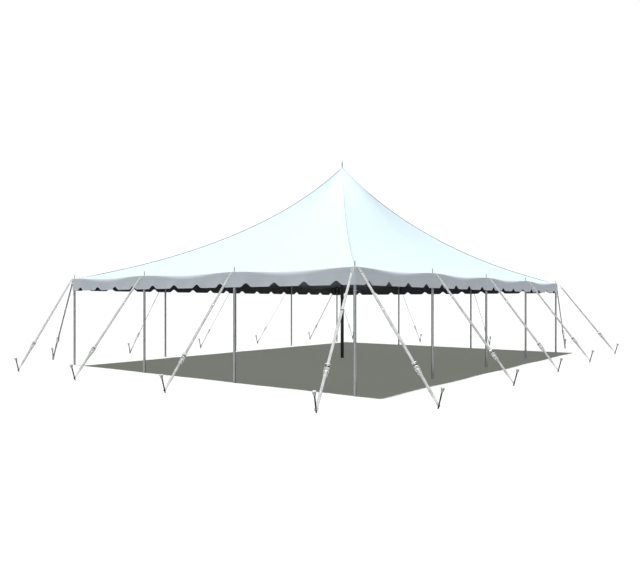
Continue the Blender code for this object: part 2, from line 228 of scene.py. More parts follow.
def webbing():
    made, tree, shader = finish("polyester_webbing_off_white", Sheen_Weight=0.25, Sheen_Roughness=0.4)
    run = add(tree, "UVMap", uv_map="run")
    place = add(tree, "TexCoord", out="Object")
    from_edge, down, _ = add(tree, "SeparateXYZ", {0: run}).node.outputs
    # Herringbone: ribs slant one way in a stripe and the other way in the next
    zig = add(tree, "Math", {0: from_edge, 1: STRIPE}, operation="PINGPONG")
    slant = add(tree, "Math", {0: down, 1: zig}, operation="ADD")
    phase = add(tree, "Math", {0: slant, 1: 2 * math.pi / RIB}, operation="MULTIPLY")
    wave = add(tree, "Math", {0: phase}, operation="SINE")
    ribs = add(tree, "MapRange", {0: wave, 1: -1.0, 2: 1.0})
    cloud = add(tree, "TexNoise", {"Vector": place, "Scale": 9.0, "Detail": 5.0})
    cloud = add(tree, "MapRange", {0: cloud, 1: 0.45, 2: 0.75, 4: 0.5})
    # Painted shade: a darker rim along both woven edges of the strap
    edge = add(tree, "MapRange", {0: from_edge, 1: 0.0055, 2: 0.0035, 4: 0.8})
    dirt_and_edge_shade = add(tree, "Math", {0: cloud, 1: edge}, operation="MAXIMUM")
    tone = add(tree, "Mix", {0: ribs, 6: paint("#cccecd"), 7: paint("#e6e8e7")}, data_type="RGBA")
    tone = add(tree, "Mix", {0: dirt_and_edge_shade, 6: tone, 7: paint("#8f9190")}, data_type="RGBA")
    rough = add(tree, "MapRange", {0: ribs, 3: 0.85, 4: 0.7})
    feed(shader, tone, rough, add(tree, "Bump", {"Strength": 0.5, "Distance": 0.0008, "Height": ribs}))
    return made


white_webbing = webbing()
print("webbing:", white_webbing.name)

# %% [markdown]
# ## Metals, thread and caps
# Side poles are drawn aluminium tube, dull grey with fine lines along its length. The centre pole is steel
# tube, painted a satin near-black as painted shade for the deep shade it stands in under the roof. Ratchets,
# rings and pins are zinc plated, with a milky bloom.
# Stakes are hot rolled bar: dark scale, brown rust in places, and bright steel where rings rub. Sewing
# thread is bonded polyester, whiter and glossier than webbing. Stake caps are moulded polyethylene, pale
# and waxy, scuffed on top where they are stepped on. One recipe serves them all: two tones mixed by a
# noise, with roughness and relief that follow it, and on metal a few worn spots.


# %% Metals, thread and caps
def mottled(name, tones, noise, rough=None, relief=None, worn=None, stretch=(1, 1, 1), **gloss):
    """Noise is its scale and detail, and the part of its range that the second tone comes in over.

    Relief is its strength and depth. Worn is the spots' colour and the share of the surface they take.
    """
    made, tree, shader = finish(name, **gloss)
    scale, detail, low, high = noise
    place = add(tree, "TexCoord", out="Object")
    drawn = add(tree, "Mapping", {0: place, 3: stretch})
    grain = add(tree, "TexNoise", {"Vector": drawn, "Scale": scale, "Detail": detail})
    share = add(tree, "MapRange", {0: grain, 1: low, 2: high})
    tone = add(tree, "Mix", {0: share, 6: paint(tones[0]), 7: paint(tones[1])}, data_type="RGBA")
    if worn:
        blot = add(tree, "TexNoise", {"Vector": place, "Scale": 14.0, "Detail": 6.0})
        blot = add(tree, "MapRange", {0: blot, 1: 0.68 - worn[1], 2: 0.74 - worn[1]})
        tone = add(tree, "Mix", {0: blot, 6: tone, 7: paint(worn[0])}, data_type="RGBA")
    if rough:
        rough = add(tree, "MapRange", {0: share, 3: rough[0], 4: rough[1]})
    if relief:
        relief = add(tree, "Bump", {"Strength": relief[0], "Distance": relief[1], "Height": grain})
    feed(shader, tone, rough, relief)
    return made


# Lines along the tube: the noise is drawn out thirty times in its length
aluminium_tube = mottled(
    "drawn_aluminium_tube", ("#919395", "#a9abad"), (160, 4, 0.3, 0.7), (0.40, 0.54), (0.4, 0.0003),
    ("#7b7d80", 0.02), (1, 1, 0.03), Metallic=0.95,
)
# Painted shade: near-black for the centre pole in the deep shade under the roof
centre_pole_shade_black = mottled(
    "steel_black_painted_shade", ("#101113", "#18191b"), (220, 4, 0.3, 0.7), (0.42, 0.55), (0.4, 0.0003),
    ("#232427", 0.0), Metallic=0.0,
)
zinc_plate = mottled(
    "zinc_plated_steel", ("#cfd2d2", "#e4e6e4"), (60, 4, 0.3, 0.7), (0.34, 0.5), (0.4, 0.0002),
    ("#b9b8ad", 0.05), Metallic=0.6,
)
dark_bar = mottled(
    "hot_rolled_steel_bar", ("#121111", "#242120"), (90, 4, 0.3, 0.7), (0.55, 0.8), (0.4, 0.0006),
    ("#77736e", 0.12), Metallic=0.1,
)
white_thread = mottled(
    "bonded_polyester_thread", ("#c9cac8", "#f4f5f3"), (400, 2, 0.0, 1.0), (0.45, 0.6), Sheen_Weight=0.1
)
pale_cap = mottled(
    "moulded_polyethylene_cap", ("#d3d5d4", "#a9a9a4"), (45, 6, 0.52, 0.7), (0.4, 0.65), (0.2, 0.0005),
    IOR=1.5,
)
print("also:", [m.name for m in (aluminium_tube, centre_pole_shade_black, zinc_plate, dark_bar, white_thread, pale_cap)])

# %% [markdown]
# ## Floor
# The floor is only a pale studio sheet, which isn't part of the tent. It glows a little, like a sheet that
# is lit from below, so that the tent's shadow stays an even grey.

# %% Floor
FLOOR_RADIUS, FLOOR_SIDES, FLOOR_LEVEL = 120, 64, -0.0008
floor_sheet = mottled(
    "studio_floor_sheet", ("#fbfbfb", "#f8f8f8"), (0.3, 2, 0.0, 1.0), Roughness=1.0,
    Specular_IOR_Level=0.0, Emission_Color=paint("#f6ffe9"), Emission_Strength=0.155,
)


def circle_points(radius, sides):
    angles = [2 * math.pi * k / sides for k in range(sides)]
    return [(radius * math.cos(a), radius * math.sin(a)) for a in angles]


floor_mesh = bpy.data.meshes.new("studio_floor")
rim = [(*spot, FLOOR_LEVEL) for spot in circle_points(FLOOR_RADIUS, FLOOR_SIDES)]
floor_mesh.from_pydata(rim, [], [range(FLOOR_SIDES)])
floor_mesh.materials.append(floor_sheet)
floor = bpy.data.objects.new("studio_floor", floor_mesh)
scene.collection.objects.link(floor)
# The tent isn't lit by light that the floor throws back
floor.visible_diffuse = False
print("floor is", 2 * FLOOR_RADIUS, "m across")

# %% [markdown]
# ## Light
# A high sun a little behind the tent leaves the shaded skirt grey and throws a crisp shadow to the front.
# A soft sun does that here. Two large soft boxes and a dim glow near the ground fill in the tent. The
# boxes leave the floor out, so that the shadow on it stays even. The camera sees a plain white backdrop.


# %% Light
def sun(name, towards, strength, spread, leave_out=None):
    """A sun whose light travels along towards. Spread is its width in degrees."""
    lamp = bpy.data.lights.new(name, "SUN")
    lamp.energy, lamp.angle = strength, math.radians(spread)
    made = bpy.data.objects.new(name, lamp)
    made.rotation_euler = Vector(towards).to_track_quat("-Z", "Y").to_euler()
    scene.collection.objects.link(made)
    if leave_out:
        unlit = bpy.data.collections.new(name + "_leaves_out")
        unlit.objects.link(leave_out)
        made.light_linking.receiver_collection = unlit
        unlit.collection_objects[0].light_linking.link_state = "EXCLUDE"


sun("key_sun", (0.02, -0.22, -1), 2.95, 2.5)
sun("front_box", (-0.38, 0.34, -0.86), 1.9, 40, leave_out=floor)
sun("side_box", (1, 0.15, -0.2), 1.3, 50, leave_out=floor)

# The sky glows near the ground only, and is plain white to the camera
sky = bpy.data.worlds.new("backdrop")
scene.world = sky
sky.use_nodes = True
sky_tree = sky.node_tree
ray = add(sky_tree, "TexCoord", out="Generated")
height = add(sky_tree, "SeparateXYZ", {0: ray}, "Z")
glow = add(sky_tree, "MapRange", {0: height, 1: 0.3, 2: 0.5, 3: 0.3, 4: 0.0})
dim = sky_tree.nodes["Background"]
dim.inputs[0].default_value = paint("#f5f8fd")
sky_tree.links.new(glow, dim.inputs[1])
bright = add(sky_tree, "Background", {0: (1, 1, 1, 1), 1: 1.08})
seen = add(sky_tree, "LightPath", out="Is Camera Ray")
both = add(sky_tree, "MixShader", {0: seen, 1: dim.outputs[0], 2: bright})
sky_tree.links.new(both, sky_tree.nodes["World Output"].inputs[0])
print("lights:", [o.name for o in scene.objects if o.type == "LIGHT"])

# %% [markdown]
# ## The sheet's columns
# A sheet could be cut from flat panels, draped by simulation, or built on a rule. Here the rule is
# known: every column of points starts at the peak, runs down the swoop, rolls over the hem, and ends at
# a tongue of the skirt. So the whole canopy is one grid, closed round the tent, with a rounded corner at
# each corner pole. Between two poles the hem hangs slack and rolls softly. At a pole it is taut and crisp.

# %% Columns round the hem
# Patch is how many columns a pole's patch spans to either side, and 0 where no pole stands
Column = namedtuple("Column", "hem out slack lift side run patch")
CORNER_STEPS = 8
POLE_PATCH, CORNER_PATCH = 4, 8
# Half the length of hem that a pole holds taut, and how far a slack hem is drawn in
HEM_PLATE, DRAWN_IN = 0.09, 0.02


def pitch_steps():
    """Distances in one pitch: three steps in each half tongue and ten across the notch."""
    tongue = (PITCH - NOTCH) / 2
    steps = [tongue * i / 3 for i in range(3)] + [tongue + NOTCH * i / 10 for i in range(10)]
    return steps + [PITCH - tongue + tongue * i / 3 for i in range(3)]


BAY_COLUMNS = round(BAY / PITCH) * len(pitch_steps())


def notch_lift(along):
    """Height of the bell-shaped notch above the tongues' feet, at a distance along a side."""
    off = (along % PITCH) - PITCH / 2
    return NOTCH_RISE * math.cos(math.pi * off / NOTCH) ** 2 if abs(off) < NOTCH / 2 else 0.0


def hem_slack(along):
    """0 round a pole and 1 in the middle of a bay."""
    hang = min(max(((along % BAY) - HEM_PLATE) / (BAY - 2 * HEM_PLATE), 0), 1)
    return math.sin(math.pi * hang) ** 2


def hem_columns():
    """All columns, anticlockwise from the front left pole, corner arcs included."""
    found, run = [], 0.0
    for side, start in enumerate(CORNERS):
        end = CORNERS[(side + 1) % 4]
        first = Vector((start[0] * HALF_X, start[1] * HALF_Y))
        last = Vector((end[0] * HALF_X, end[1] * HALF_Y))
        heading = (last - first).normalized()
        out = Vector((heading.y, -heading.x))
        pitches = round((last - first).length / PITCH)
        alongs = [p * PITCH + step for p in range(pitches) for step in pitch_steps()] + [pitches * PITCH]
        for number, along in enumerate(alongs):
            slack = hem_slack(along)
            hem = first + heading * along + out * (HEM_OUT - DRAWN_IN * slack)
            at_pole = number % BAY_COLUMNS == 0 and 0 < number < len(alongs) - 1
            patch = POLE_PATCH if at_pole else 0
            found.append(Column(hem, out, slack, notch_lift(along), side, run + along, patch))
        run += (last - first).length
        for i in range(1, CORNER_STEPS):
            turned_out = Matrix.Rotation(math.radians(90) * i / CORNER_STEPS, 2) @ out
            near = side if i <= CORNER_STEPS / 2 else (side + 1) % 4
            bend = HEM_OUT * math.pi / 2 * i / CORNER_STEPS
            patch = CORNER_PATCH if i == CORNER_STEPS // 2 else 0
            found.append(Column(last + turned_out * HEM_OUT, turned_out, 0.0, 0.0, near, run + bend, patch))
        run += HEM_OUT * math.pi / 2
    return found, run


columns, round_trip = hem_columns()
print(len(columns), "columns,", round(round_trip, 2), "m round the hem")

# %% [markdown]
# ## One column from peak to tongue
# A column has three parts. The roof follows the swoop, nearly round in plan at the peak and square at the
# hem. The fold is a curve that is tight at a pole and wide between poles. The skirt hangs straight down,
# with a few millimetres of ripple that grow towards its foot, because its lower edge is free.

# %% Column sections
ROOF_ROWS, ROLL_ROWS = 34, 8
HEM_SAG, CREASE_SAG = 0.004, 0.010
SKIRT_ROWS = (0.1, 0.22, 0.36, 0.5, 0.64, 0.78, 0.9, 1.0)
# Radius and height above the patch of the collar that stands round the centre pin
COLLAR = ((0.0195, 0.074), (0.0385, 0.035))
# Size, number round the tent and start of the waves in the skirt's free edge
WAVES = ((0.0050, 57, 0.8), (0.0035, 23, 0.0), (0.0025, 131, 0.0))
# Where the fold starts and ends beside the crease, at a pole, and what a slack hem adds
FOLD_UP, FOLD_DOWN = (0.011, 0.090), (0.009, 0.115)


def ripple(run):
    """Sideways sway of the skirt's free edge, from waves that close round the tent."""
    turn = 2 * math.pi * run / round_trip
    return sum(size * math.sin(number * turn + start) for size, number, start in WAVES)


def section(column):
    """The column's points, from the collar at the peak to the foot of the skirt."""
    hem, reach, slack = column.hem, column.hem.dot(column.out), column.slack
    inward = HEM_IN + HEM_OUT
    inner = hem * (1 - inward / reach)
    spoke = inner.normalized()
    points = [(spoke * radius, PATCH_HEIGHT + up) for radius, up in COLLAR]
    for i in range(ROOF_ROWS + 1):
        out = PEAK_PATCH + (1 - PEAK_PATCH) * (i / ROOF_ROWS) ** 1.3
        roundness = (1 - out) ** 4
        plan = inner * (out * (1 - roundness)) + spoke * (ROUND_PEAK * out * roundness)
        points.append((plan, roof_height(out) - HEM_SAG * slack * out**8))
    # Fold: a curve from the roof's side of the crease, past it, to the skirt's side
    crease = EAVE - (HEM_SAG + CREASE_SAG) * slack
    rise = points[-1][1] - crease
    share, start = (FOLD_UP[0] + FOLD_UP[1] * slack) / inward, crease - FOLD_DOWN[0] - FOLD_DOWN[1] * slack
    arc = []
    for i in range(ROLL_ROWS + 1):
        t = i / ROLL_ROWS
        in_here = inward * share * (1 - t) ** 2
        height = (1 - t) ** 2 * (crease + rise * share) + 2 * t * (1 - t) * crease + t**2 * start
        arc.append((hem * (1 - in_here / reach), height))
    plan, height = points[-1]
    points.append(((plan + arc[0][0]) / 2, (height + arc[0][1]) / 2 + 0.0008))
    points += arc
    for share in SKIRT_ROWS:
        sway = ripple(column.run) * share**1.4 + 0.003 * share**2
        height = start + (TONGUE_FOOT + column.lift - start) * share
        points.append((hem + column.out * sway, height))
    return [Vector((plan.x, plan.y, height)) for plan, height in points]


def travelled(points):
    """Distance from the first point of a line to each of its points."""
    found = [0.0]
    for a, b in zip(points, points[1:]):
        found.append(found[-1] + (b - a).length)
    return found


HEM_ROW = ROOF_ROWS + 2
FOLD_ROW = HEM_ROW + 2 + ROLL_ROWS // 2
sections = [section(column) for column in columns]
# Distance of each point from the fold, positive up the roof
slopes = [[ways[FOLD_ROW] - way for way in ways] for ways in map(travelled, sections)]
print(len(sections[0]), "rows, the hem is row", HEM_ROW)

# %% [markdown]
# ## The sheet itself
# The skirt needs sixteen columns a tongue for its smooth notches, and the roof is well served by eight.
# Where they meet, one five-sided face takes up each pair. The UV map called panel holds the distance along
# the side and the distance up from the fold, so the welds run straight up the slope and meet on the hips.
# Solidify gives the wall and lays the charcoal painted shade inside.


# %% Mesh helpers
@contextmanager
def opened(data):
    """Opens a mesh for editing, and writes it back at the end."""
    edit = bmesh.new()
    edit.from_mesh(data)
    yield edit
    edit.to_mesh(data)
    edit.free()


def mapped_mesh(name, points, faces, uv_map, spots):
    """A smooth mesh with a UV map, whose spots are one (u, v) pair for every corner of a face."""
    data = bpy.data.meshes.new(name)
    data.from_pydata(points, [], faces)
    data.uv_layers.new(name=uv_map).data.foreach_set("uv", [value for spot in spots for value in spot])
    data.shade_smooth()
    return data


def crisp_rim(data):
    """Marks the free edges of a sheet sharp, so that its cut edge doesn't shade the face beside it."""
    with opened(data) as edit:
        for edge in edit.edges:
            edge.smooth = not edge.is_boundary


def show(name, data, finishes, slot, stands_for=()):
    """Puts a mesh in the scene as a finished piece that rides on the tent's one body."""
    for one in finishes:
        data.materials.append(one)
    made = bpy.data.objects.new(name, data)
    scene.collection.objects.link(made)
    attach(made, "root")
    if stands_for:
        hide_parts(*stands_for)
    return made


def thicken(piece, thickness, inside=0):
    """Gives a sheet its thickness inward. Inside is how far on in its finishes the inner one is."""
    wall = piece.modifiers.new("wall", "SOLIDIFY")
    wall.thickness, wall.offset, wall.material_offset = thickness, -1, inside


print("mesh helpers ready")


# %% Canopy mesh
def canopy_mesh():
    count, index, points, faces, spots = len(columns), {}, [], [], []
    for row in range(len(sections[0])):
        for j in range(0, count, 2 if row <= HEM_ROW else 1):
            index[row, j] = len(points)
            points.append(sections[j][row])
    for row in range(len(sections[0]) - 1):
        step = 2 if row <= HEM_ROW else 1
        for j in range(0, count, step):
            axis = columns[j + step // 2].side % 2
            nexts = [(row + 1, (j + k) % count) for k in ((0, 1, 2) if row == HEM_ROW else (0, step))]
            loop = [(row, j), *nexts, (row, (j + step) % count)]
            faces.append([index[key] for key in loop])
            spots += [(sections[j][row][axis], slopes[j][row]) for row, j in loop]
    data = mapped_mesh("canopy", points, faces, "panel", spots)
    crisp_rim(data)
    return data, index


canopy_data, canopy_index = canopy_mesh()
roof_nodes = [f"{part}_{side}" for part in ("roof", "valance") for side in SIDES]
canopy = show("canopy", canopy_data, [white_vinyl, inner_shade_vinyl], "canopy_vinyl", roof_nodes)
thicken(canopy, 0.002, inside=1)
print("canopy:", len(canopy_data.vertices), "points,", len(canopy_data.polygons), "faces")

# %% [markdown]
# ## A box of shapes
# Straps, rings, tubes and plates are all skins stretched over a row of outlines. One small class
# gathers such skins, with a UV map called run that holds real distances round and along each one.
# Normals are set outward at the end, once for each closed shell.


# %% Shapes
class Shape:
    """Mesh data that grows skin by skin, with a finish number for every face."""

    def __init__(self):
        self.points, self.faces, self.spots, self.tags = [], [], [], []

    def skin(self, rings, tag=0, loop=False, around=None):
        """Stretches a skin over rings of points, and closes its two ends or joins them."""
        first, size, count = len(self.points), len(rings[0]), len(rings)
        self.points += [point for ring in rings for point in ring]
        around = around or travelled(rings[0] + rings[0][:1])
        along = travelled([ring[0] for ring in rings + rings[:1]])
        for i in range(count if loop else count - 1):
            a, b = first + i * size, first + (i + 1) % count * size
            for k in range(size):
                m = (k + 1) % size
                self.faces.append((a + k, a + m, b + m, b + k))
                u, v, w, x = around[k], around[k + 1], along[i], along[i + 1]
                self.spots += [(u, w), (v, w), (v, x), (u, x)]
                self.tags.append(tag)
        if not loop:
            for start in (first, first + (count - 1) * size):
                self.faces.append(tuple(range(start, start + size)))
                self.spots += [(around[k], 0.0) for k in range(size)]
                self.tags.append(tag)

    def take(self, data, tag, seat=None):
        """Takes in another mesh, placed by its seat."""
        first, seat = len(self.points), seat or Matrix()
        self.points += [seat @ vertex.co for vertex in data.vertices]
        for face in data.polygons:
            self.faces.append(tuple(first + i for i in face.vertices))
            self.spots += [(0.0, 0.0)] * len(face.vertices)
            self.tags.append(tag)

    def mesh(self, name, sharp=35, on_sheet=None):
        """The gathered mesh, with outward normals, smooth but for edges above the sharp angle.

        On_sheet is the one spot on the sheet's map that a piece of vinyl is given all over.
        """
        spots = [on_sheet] * len(self.spots) if on_sheet else self.spots
        data = mapped_mesh(name, self.points, self.faces, "panel" if on_sheet else "run", spots)
        data.polygons.foreach_set("material_index", self.tags)
        with opened(data) as edit:
            bmesh.ops.recalc_face_normals(edit, faces=edit.faces[:])
        data.set_sharp_from_angle(angle=math.radians(sharp))
        return data


print("a shape holds", list(vars(Shape())))


# %% Skins of straps, bars, turned parts and plates
CHAMFER = 0.0006


def tangents(path, loop=False):
    """Direction of travel at each point of a path."""
    before = path[-1:] + path[:-1] if loop else path[:1] + path[:-1]
    after = path[1:] + path[:1] if loop else path[1:] + path[-1:]
    return [(b - a).normalized() for a, b in zip(before, after)]


def band(shape, path, wide, width, thickness, loop=False):
    """A flat strap along a path. Wide is the way across it."""
    rings, half, thin = [], width / 2, thickness / 2
    outline = ((-half, 0), (thin - half, -thin), (0, -thin), (half - thin, -thin))
    outline += tuple((-x, -y) for x, y in outline)
    for point, way in zip(path, tangents(path, loop)):
        face = way.cross(wide).normalized()
        rings.append([point + wide * x + face * y for x, y in outline])
    # Across a strap, the map holds the distance from its nearer edge
    from_edge = [half - abs(x) for x, _ in outline]
    shape.skin(rings, 0, loop, from_edge + from_edge[:1])


def wire(shape, path, normal, radius, tag):
    """A closed ring of round bar along a flat path whose plane has the normal."""
    rings = []
    for point, way in zip(path, tangents(path, True)):
        aside = way.cross(normal).normalized()
        rings.append([point + aside * x + normal * y for x, y in circle_points(radius, 8)])
    shape.skin(rings, tag, True)


def turned(shape, profile, seat, tag, sides):
    """A turned solid from (radius, height) pairs along the seat's Z."""
    rings = []
    for radius, height in profile:
        rings.append([seat @ Vector((*spot, height)) for spot in circle_points(radius, sides)])
    shape.skin(rings, tag)


def plate(shape, outline, low, high, seat, tag=0):
    """A flat plate with broken edges. Its outline lies in the seat's XY, anticlockwise."""
    ways = tangents([Vector(p) for p in outline], True)
    inset = [(x - CHAMFER * way.y, y + CHAMFER * way.x) for (x, y), way in zip(outline, ways)]
    levels = ((inset, low), (outline, low + CHAMFER), (outline, high - CHAMFER), (inset, high))
    shape.skin([[seat @ Vector((x, y, z)) for x, y in line] for line, z in levels], tag)


print("shape helpers ready")

# %% [markdown]
# ## Hem binding, patches and hip seams
# A free edge of coated cloth is bound with a folded tape, so that it can't fray or tear. A second layer is
# welded over every place where a pole pushes, and round the peak. Along each hip the two roof panels are
# joined by a standing seam. Its grey is painted shade: it draws the thin dark line along the tent's outline.


# %% Binding
# How far the folded tape reaches above and below the skirt's edge, and before and behind it
TAPE_RISE, TAPE_DROP, TAPE_FACE, TAPE_BACK = 0.016, 0.0014, 0.0013, -0.0033


def hem_binding():
    """A folded tape over the lower edge of the skirt, as a closed ring of outlines."""
    shape, rings = Shape(), []
    rise, drop = UP * TAPE_RISE, UP * TAPE_DROP
    for column, points in zip(columns, sections):
        foot, out = points[-1], column.out.to_3d()
        face, back = out * TAPE_FACE, out * TAPE_BACK
        rings.append([foot + rise + face, foot - drop + face, foot - drop + back, foot + rise + back])
    shape.skin(rings, loop=True)
    return shape.mesh("hem_binding", 60, on_sheet=(NO_WELD, -1.0))


binding = show("hem_binding", hem_binding(), [white_vinyl], "valance_vinyl")
print("hem binding:", len(binding.data.polygons), "faces")


# %% Patches at the poles and the peak
def patch_mesh():
    """Second layers that follow the canopy's own grid, 1 mm above it."""
    points, faces, spots = [], [], []
    count, lift = len(columns), 0.0011

    def lay(rows, cols, loop=False):
        keys = {}
        for row in rows:
            for j in cols:
                vertex = canopy_data.vertices[canopy_index[row, j]]
                keys[row, j] = len(points)
                points.append(vertex.co + canopy_data.vertex_normals[vertex.index].vector * lift)
        pairs = list(zip(cols, cols[1:])) + ([(cols[-1], cols[0])] if loop else [])
        for r, s in zip(rows, rows[1:]):
            for a, b in pairs:
                corners = ((r, a), (s, a), (s, b), (r, b))
                faces.append([keys[corner] for corner in corners])
                spots.extend((NO_WELD, slopes[j][row]) for row, j in corners)

    for spread in (POLE_PATCH, CORNER_PATCH):
        for j in (j for j, column in enumerate(columns) if column.patch == spread):
            fine = [(j + k) % count for k in range(-spread, spread + 1)]
            lay([HEM_ROW - 1, HEM_ROW], fine[::2])
            lay(range(HEM_ROW + 1, HEM_ROW + ROLL_ROWS + 5), fine)
    lay(range(6), range(0, count, 2), loop=True)
    data = mapped_mesh("pole_patches", points, faces, "panel", spots)
    crisp_rim(data)
    return data


patches = show("pole_patches", patch_mesh(), [white_vinyl], "canopy_vinyl")
thicken(patches, 0.001)
print("patches at", sum(column.patch > 0 for column in columns), "poles and the peak")


# %% Standing seams on the hips
def hip_seams():
    """A fin along each hip, lower towards the peak and lowest at the corner pole."""
    shape, height, thin, lift = Shape(), 0.022, 0.0017, 0.009
    for column, points in zip(columns, sections):
        if column.patch != CORNER_PATCH:
            continue
        path, rings = points[1 : HEM_ROW + 1], []
        side = Vector((-column.out.y, column.out.x, 0)).normalized()
        for i, (point, way) in enumerate(zip(path, tangents(path))):
            rise = side.cross(way).normalized()
            rise = rise if rise.z > 0 else -rise
            fade = min(1.0, 0.6 + i / 8, 0.3 + (len(path) - 1 - i) / 3)
            half = height / 2 * fade
            outline = ((-half, -thin), (half - thin, -thin), (half, 0), (half - thin, thin), (-half, thin))
            rings.append([point + rise * (lift * fade) + rise * x + side * y for x, y in outline])
        shape.skin(rings)
    return shape.mesh("hip_seams", 50, on_sheet=(NO_WELD, NO_WELD))


seams = show("hip_seams", hip_seams(), [outline_shade_seam], "canopy_vinyl")
# The shadow of so low a fin would only draw a dark line down the roof
seams.visible_shadow = False
print("hip seams:", len(seams.data.polygons), "faces")

# %% [markdown]
# ## Stitches by Geometry Nodes
# Stitches repeat along a line, which suits Geometry Nodes. The tree takes a mesh of bare edges, turns it
# into curves, sets points at the stitch length, and puts one small five-sided stitch on each point along
# the line. Real lock stitches are 4 mm long. These are drawn twice that, so that they can be seen.


# %% Trees for Geometry Nodes
def open_tree(name, inputs):
    """A new tree and what its inputs give. Each has a number to start from, or its socket's kind."""
    tree = bpy.data.node_groups.new(name, "GeometryNodeTree")
    for title, value in inputs.items():
        kind = value if isinstance(value, str) else {int: "Int", float: "Float"}[type(value)]
        socket = tree.interface.new_socket(title, in_out="INPUT", socket_type="NodeSocket" + kind)
        if kind != value:
            socket.default_value = value
    tree.interface.new_socket("Geometry", in_out="OUTPUT", socket_type="NodeSocketGeometry")
    return tree, add(tree, "NodeGroupInput").node.outputs


def close_tree(tree, parts, material):
    """Makes real geometry of the parts, in one material, and hands it out."""
    real = add(tree, "GeometryNodeRealizeInstances", {0: parts})
    dressed = add(tree, "GeometryNodeSetMaterial", {"Geometry": real, "Material": material})
    add(tree, "NodeGroupOutput", {0: dressed})
    return tree


def stitch_tree():
    sizes = {"Spacing": 0.008, "Length": 0.006, "Thickness": 0.0012}
    tree, given = open_tree("lock_stitches", {"Geometry": "Geometry", **sizes, "Thread": "Material"})
    lines = add(tree, "GeometryNodeMeshToCurve", {0: given["Geometry"]})
    steps = {"Curve": lines, "Length": given["Spacing"]}
    points = add(tree, "GeometryNodeResampleCurve", steps, mode="LENGTH")
    way = add(tree, "GeometryNodeInputTangent")
    turn = add(tree, "FunctionNodeAlignRotationToVector", {"Vector": way}, axis="Z")
    radius = add(tree, "Math", {0: given["Thickness"], 1: 0.5}, operation="MULTIPLY")
    bar = add(tree, "GeometryNodeMeshCylinder", {"Vertices": 5, "Radius": radius, "Depth": given["Length"]})
    each = {"Points": points, "Instance": bar, "Rotation": turn}
    return close_tree(tree, add(tree, "GeometryNodeInstanceOnPoints", each), given["Thread"])


def grown(name, data, tree, values):
    """Runs a tree on a mesh and gives back the plain mesh. Values are the inputs by name."""
    holder = bpy.data.objects.new(name, data)
    scene.collection.objects.link(holder)
    step = holder.modifiers.new(name, "NODES")
    step.node_group = tree
    sockets = {s.name: s.identifier for s in tree.interface.items_tree if s.in_out == "INPUT"}
    for key, value in values.items():
        step[sockets[key]] = value
    made = bpy.data.meshes.new_from_object(holder.evaluated_get(bpy.context.evaluated_depsgraph_get()))
    bpy.data.objects.remove(holder)
    return made


def line_mesh(lines):
    """A mesh of bare edges from open or closed lines of points."""
    points, edges = [], []
    for line in lines:
        edges += [(len(points) + i, len(points) + i + 1) for i in range(len(line) - 1)]
        points += line
    data = bpy.data.meshes.new("seam_lines")
    data.from_pydata(points, edges, [])
    return data


stitches = stitch_tree()
print("stitch tree:", [node.bl_label for node in stitches.nodes])

# %% Hem stitching
hem_line = [p[-1] + c.out.to_3d() * 0.0016 + UP * 0.009 for c, p in zip(columns, sections)]
hem_sizes = {"Spacing": 0.022, "Length": 0.014, "Thickness": 0.0016, "Thread": white_thread}
hem_sewing = grown("hem_stitching", line_mesh([hem_line + hem_line[:1]]), stitches, hem_sizes)
# The tree has given the stitches their thread already
hem_stitching = show("hem_stitching", hem_sewing, [], "valance_vinyl")
print("hem stitching:", len(hem_sewing.polygons), "faces")

# %% [markdown]
# ## Poles
# A side pole is 57 mm aluminium tube with a plug pressed into each end. The upper plug carries a thin pin
# that goes up through the hem, and four rivets hold each plug. The centre pole is 100 mm steel tube in
# two lengths, with a bolted sleeve over the joint. A turned profile suits both.

# %% Poles
SIDE_RADIUS, CENTRE_RADIUS = 0.0285, 0.05
PIN_TOP = EAVE + 0.108
CENTRE_TIP = PATCH_HEIGHT + 0.250


def fasteners(shape, radius, heights, first, count, head, sides):
    """Heads that stand out round a tube. Head is their profile, and first the turn of the first."""
    for height in heights:
        for turn in range(count):
            round_tube = Matrix.Rotation(math.radians(360 / count * turn + first), 4, "Z")
            seat = round_tube @ Matrix.Translation((radius, 0, height)) @ Matrix.Rotation(math.pi / 2, 4, "Y")
            turned(shape, head, seat, 1, sides)


def side_pole_shape():
    shape, r = Shape(), SIDE_RADIUS
    top = EAVE - 0.005
    tube = [(0.0250, 0.003), (0.0275, 0.003), (r, 0.005), (r, 0.052), (0.0277, 0.055), (r, 0.058), (r, 0.6)]
    tube += [(r, 1.2), (r, 1.8), (r, top - 0.066), (0.0277, top - 0.063), (r, top - 0.060), (r, top - 0.006)]
    tube += [(0.0275, top - 0.004), (0.025, top - 0.004)]
    turned(shape, tube, Matrix(), 0, 32)
    foot = [(0.0262, 0.0), (0.0270, 0.001), (0.0270, 0.004), (0.02, 0.004)]
    turned(shape, foot, Matrix(), 1, 32)
    pin = [(0.0262, top - 0.006), (0.0272, top - 0.004), (0.0272, top - 0.0008), (0.0262, top)]
    pin += [(0.0115, top), (0.0095, top + 0.003), (0.0095, EAVE + 0.098), (0.0085, EAVE + 0.104)]
    pin += [(0.0060, EAVE + 0.1072), (0.0020, PIN_TOP)]
    turned(shape, pin, Matrix(), 0, 24)
    rivet = [(0.0042, -0.001), (0.0042, 0.0006), (0.0030, 0.0014), (0.0010, 0.0018)]
    fasteners(shape, 0.0283, (0.03, top - 0.035), 45, 4, rivet, 10)
    return shape.mesh("side_pole", 40)


